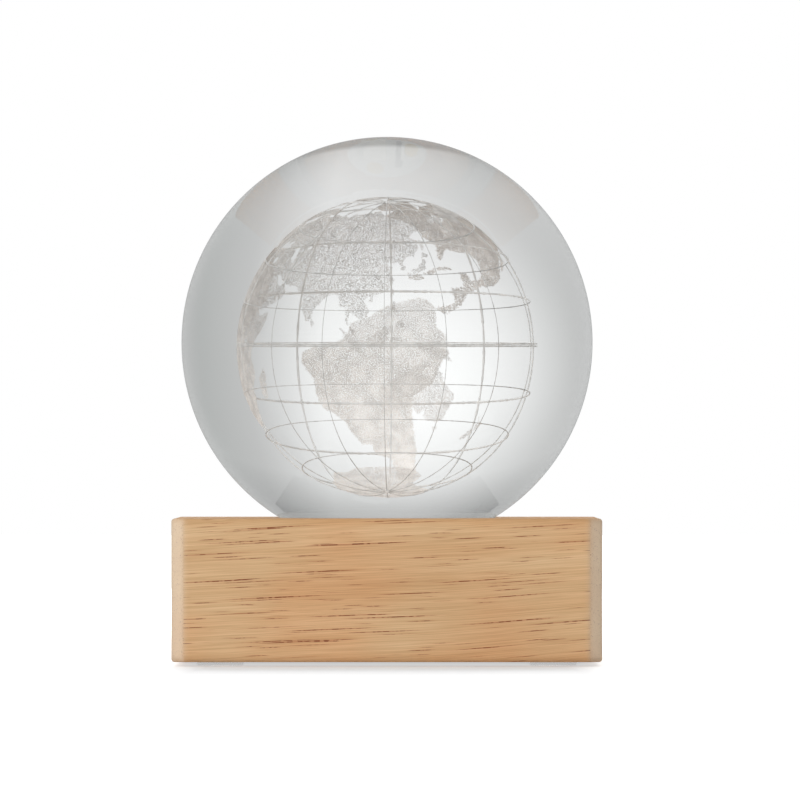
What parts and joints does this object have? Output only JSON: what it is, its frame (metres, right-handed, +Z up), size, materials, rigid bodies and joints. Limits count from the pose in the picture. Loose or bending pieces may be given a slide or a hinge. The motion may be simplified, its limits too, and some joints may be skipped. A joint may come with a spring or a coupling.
{
  "type": "glass ball lamp",
  "caption": "Clear glass ball with a globe engraved inside, seated in a square wooden block that hides a small light board, battery box and slide switch.",
  "frame": {"origin": "on the table, under the middle of the wooden block", "axes": "+Z up, -Y towards the front with the map's eastern half, +X to the right seen from the front"},
  "size_m": [0.0826, 0.0826, 0.1024],
  "materials": {
    "clear_glass": "polished, with a white engraving inside",
    "pale_wood": "fine sanded, clear oiled",
    "clear_silicone": "translucent matte",
    "white_tape": "matte",
    "white_board": "white solder mask",
    "led_case": "white case with a yellow gel",
    "resistor_black": "satin",
    "red_insulation": "satin",
    "black_insulation": "satin",
    "box_plastic": "fine spark texture",
    "cell_wrap": "satin wrap",
    "plated_steel": "nickel plated",
    "switch_plastic": "satin",
    "slider_plastic": "matte",
    "pin_brass": "tinned"
  },
  "bodies": {
    "base": {"wooden_base": "pale_wood", "seat_ring": "clear_silicone", "rubber_feet": "clear_silicone", "board_tape": "white_tape", "led_board": "white_board", "led_chips": "led_case", "chip_resistors": "resistor_black", "positive_wire": "red_insulation", "negative_wire": "black_insulation", "battery_box": "box_plastic", "aaa_cell_1": "cell_wrap", "aaa_cell_2": "cell_wrap", "aaa_cell_3": "cell_wrap", "contact_plates": "plated_steel", "contact_springs": "plated_steel", "switch_case": "switch_plastic", "switch_pins": "pin_brass", "box_screws": "plated_steel"},
    "ball": {"glass_ball": "clear_glass"},
    "door": {"battery_door": "box_plastic"},
    "slider": {"switch_slider": "slider_plastic"}
  },
  "joints": [
    {"name": "ball_lift", "type": "slide", "parent": "base", "child": "ball", "axis": [0, 0, 1], "range_m": [0, 0.06]},
    {"name": "door_swing", "type": "hinge", "parent": "base", "child": "door", "pos_m": [-0.0064, 0.01715, 0.0008], "axis": [1, 0, 0], "range_deg": [0, 75]},
    {"name": "switch_slide", "type": "slide", "parent": "base", "child": "slider", "axis": [0, 1, 0], "range_m": [0, 0.003]}
  ]
}
